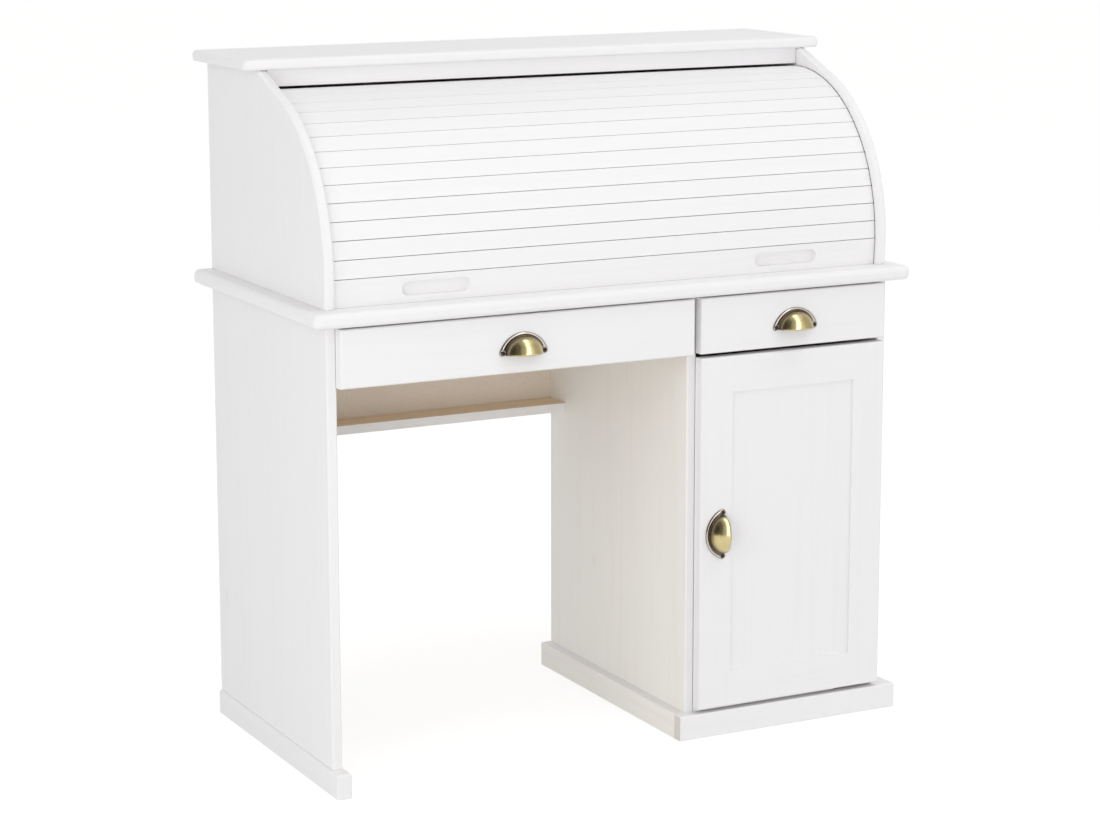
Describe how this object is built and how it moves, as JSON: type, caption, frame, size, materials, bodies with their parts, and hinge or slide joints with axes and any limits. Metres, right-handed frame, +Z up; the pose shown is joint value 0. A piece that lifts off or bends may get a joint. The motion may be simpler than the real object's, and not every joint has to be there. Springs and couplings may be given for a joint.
{
  "type": "roll top secretary desk",
  "caption": "Roll top writing desk in pale glazed pine with a slatted tambour over the writing space, a pedestal cupboard with a panelled door, drawers and aged brass cup pulls.",
  "frame": {"origin": "on the floor, at the middle of the desk's overall box", "axes": "+X to the right of someone facing the front, +Y to the back, +Z up"},
  "size_m": [1.08, 0.5361, 1.1339],
  "materials": {
    "glazed_pine": "pine with a thin off-white glaze, satin, brushed along the grain",
    "bare_pine": "bare pine inside, matt",
    "back_board": "thin board, matt",
    "aged_brass": "aged brass, rubbed high spots",
    "dark_screw": "darkened steel",
    "hinge_steel": "nickel plated",
    "canvas": "cotton canvas"
  },
  "bodies": {
    "carcass": {"left_side_panel": "glazed_pine", "left_foot": "glazed_pine", "pedestal_left_panel": "glazed_pine", "pedestal_right_panel": "glazed_pine", "plinth_front_board": "glazed_pine", "plinth_left_board": "glazed_pine", "plinth_right_board": "glazed_pine", "cupboard_floor": "bare_pine", "drawer_divider": "bare_pine", "cupboard_shelf": "bare_pine", "shelf_battens": "bare_pine", "cupboard_back": "back_board", "knee_back_board": "back_board", "knee_stretcher": "glazed_pine", "desktop": "glazed_pine", "upper_left_side": "glazed_pine", "upper_right_side": "glazed_pine", "fascia_rail": "glazed_pine", "crown": "glazed_pine", "upper_back": "back_board", "inner_back": "bare_pine", "letter_shelf": "bare_pine", "letter_dividers": "bare_pine", "drawer_runners": "bare_pine", "hinge_arms": "hinge_steel"},
    "tambour_rail": {"tambour_rail": "glazed_pine", "tambour_canvas": "canvas"},
    "slat_01": {"tambour_slat_01": "glazed_pine"},
    "slat_02": {"tambour_slat_02": "glazed_pine"},
    "slat_03": {"tambour_slat_03": "glazed_pine"},
    "slat_04": {"tambour_slat_04": "glazed_pine"},
    "slat_05": {"tambour_slat_05": "glazed_pine"},
    "slat_06": {"tambour_slat_06": "glazed_pine"},
    "slat_07": {"tambour_slat_07": "glazed_pine"},
    "slat_08": {"tambour_slat_08": "glazed_pine"},
    "slat_09": {"tambour_slat_09": "glazed_pine"},
    "slat_10": {"tambour_slat_10": "glazed_pine"},
    "slat_11": {"tambour_slat_11": "glazed_pine"},
    "slat_12": {"tambour_slat_12": "glazed_pine"},
    "slat_13": {"tambour_slat_13": "glazed_pine"},
    "slat_14": {"tambour_slat_14": "glazed_pine"},
    "slat_15": {"tambour_slat_15": "glazed_pine"},
    "centre_drawer": {"centre_drawer_front": "glazed_pine", "centre_drawer_sides": "bare_pine", "centre_drawer_back": "bare_pine", "centre_drawer_bottom": "bare_pine", "centre_drawer_pull": "aged_brass", "centre_pull_screws": "dark_screw"},
    "small_drawer": {"small_drawer_front": "glazed_pine", "small_drawer_sides": "bare_pine", "small_drawer_back": "bare_pine", "small_drawer_bottom": "bare_pine", "small_drawer_pull": "aged_brass", "small_pull_screws": "dark_screw"},
    "cupboard_door": {"door_stiles": "glazed_pine", "door_rails": "glazed_pine", "door_panel": "glazed_pine", "door_pull": "aged_brass", "door_pull_screws": "dark_screw", "hinge_cups": "hinge_steel"}
  },
  "joints": [
    {"name": "tambour_roll", "type": "hinge", "parent": "carcass", "child": "tambour_rail", "pos_m": [0, 0.05332, 0.82118], "axis": [-1, 0, 0], "range_deg": [0, 83.47], "deforming": ["tambour_canvas"]},
    {"name": "slat_01_follow", "type": "hinge", "parent": "carcass", "child": "slat_01", "pos_m": [0, 0.04773, 0.82581], "axis": [-1, 0, 0], "range_deg": [0, 85.67]},
    {"name": "slat_02_follow", "type": "hinge", "parent": "carcass", "child": "slat_02", "pos_m": [0, 0.04276, 0.8311], "axis": [-1, 0, 0], "range_deg": [0, 87.94]},
    {"name": "slat_03_follow", "type": "hinge", "parent": "carcass", "child": "slat_03", "pos_m": [0, 0.03864, 0.83666], "axis": [-1, 0, 0], "range_deg": [0, 90.22]},
    {"name": "slat_04_follow", "type": "hinge", "parent": "carcass", "child": "slat_04", "pos_m": [0, 0.03544, 0.84223], "axis": [-1, 0, 0], "range_deg": [0, 92.43]},
    {"name": "slat_05_follow", "type": "hinge", "parent": "carcass", "child": "slat_05", "pos_m": [0, 0.03381, 0.84616], "axis": [-1, 0, 0], "range_deg": [0, 93.95]},
    {"name": "slat_06_follow", "type": "hinge", "parent": "carcass", "child": "slat_06", "pos_m": [0, 0.03252, 0.85093], "axis": [-1, 0, 0], "range_deg": [0, 95.77]},
    {"name": "slat_07_follow", "type": "hinge", "parent": "carcass", "child": "slat_07", "pos_m": [0, 0.03167, 0.85683], "axis": [-1, 0, 0], "range_deg": [0, 98.04]},
    {"name": "slat_08_follow", "type": "hinge", "parent": "carcass", "child": "slat_08", "pos_m": [0, 0.0316, 0.86256], "axis": [-1, 0, 0], "range_deg": [0, 100.32]},
    {"name": "slat_09_follow", "type": "hinge", "parent": "carcass", "child": "slat_09", "pos_m": [0, 0.03221, 0.86775], "axis": [-1, 0, 0], "range_deg": [0, 102.48]},
    {"name": "slat_10_follow", "type": "hinge", "parent": "carcass", "child": "slat_10", "pos_m": [0, 0.03312, 0.8712], "axis": [-1, 0, 0], "range_deg": [0, 104]},
    {"name": "slat_11_follow", "type": "hinge", "parent": "carcass", "child": "slat_11", "pos_m": [0, 0.03479, 0.87511], "axis": [-1, 0, 0], "range_deg": [0, 105.86]},
    {"name": "slat_12_follow", "type": "hinge", "parent": "carcass", "child": "slat_12", "pos_m": [0, 0.03736, 0.87943], "axis": [-1, 0, 0], "range_deg": [0, 108.14]},
    {"name": "slat_13_follow", "type": "hinge", "parent": "carcass", "child": "slat_13", "pos_m": [0, 0.04042, 0.88321], "axis": [-1, 0, 0], "range_deg": [0, 110.42]},
    {"name": "slat_14_follow", "type": "hinge", "parent": "carcass", "child": "slat_14", "pos_m": [0, 0.0436, 0.88616], "axis": [-1, 0, 0], "range_deg": [0, 112.53]},
    {"name": "slat_15_follow", "type": "hinge", "parent": "carcass", "child": "slat_15", "pos_m": [0, 0.04613, 0.88786], "axis": [-1, 0, 0], "range_deg": [0, 114.04]},
    {"name": "centre_drawer_slide", "type": "slide", "parent": "carcass", "child": "centre_drawer", "axis": [0, -1, 0], "range_m": [0, 0.3]},
    {"name": "small_drawer_slide", "type": "slide", "parent": "carcass", "child": "small_drawer", "axis": [0, -1, 0], "range_m": [0, 0.3]},
    {"name": "door_hinge", "type": "hinge", "parent": "carcass", "child": "cupboard_door", "pos_m": [0.495, -0.22291, 0], "axis": [0, 0, 1], "range_deg": [0, 90]}
  ],
  "couplings": [
    {"joint": "slat_01_follow", "follows": "tambour_roll", "ratio": 1.0261},
    {"joint": "slat_02_follow", "follows": "tambour_roll", "ratio": 1.0534},
    {"joint": "slat_03_follow", "follows": "tambour_roll", "ratio": 1.0807},
    {"joint": "slat_04_follow", "follows": "tambour_roll", "ratio": 1.1071},
    {"joint": "slat_05_follow", "follows": "tambour_roll", "ratio": 1.1253},
    {"joint": "slat_06_follow", "follows": "tambour_roll", "ratio": 1.1471},
    {"joint": "slat_07_follow", "follows": "tambour_roll", "ratio": 1.1743},
    {"joint": "slat_08_follow", "follows": "tambour_roll", "ratio": 1.2016},
    {"joint": "slat_09_follow", "follows": "tambour_roll", "ratio": 1.2275},
    {"joint": "slat_10_follow", "follows": "tambour_roll", "ratio": 1.2457},
    {"joint": "slat_11_follow", "follows": "tambour_roll", "ratio": 1.268},
    {"joint": "slat_12_follow", "follows": "tambour_roll", "ratio": 1.2953},
    {"joint": "slat_13_follow", "follows": "tambour_roll", "ratio": 1.3226},
    {"joint": "slat_14_follow", "follows": "tambour_roll", "ratio": 1.3478},
    {"joint": "slat_15_follow", "follows": "tambour_roll", "ratio": 1.366}
  ]
}
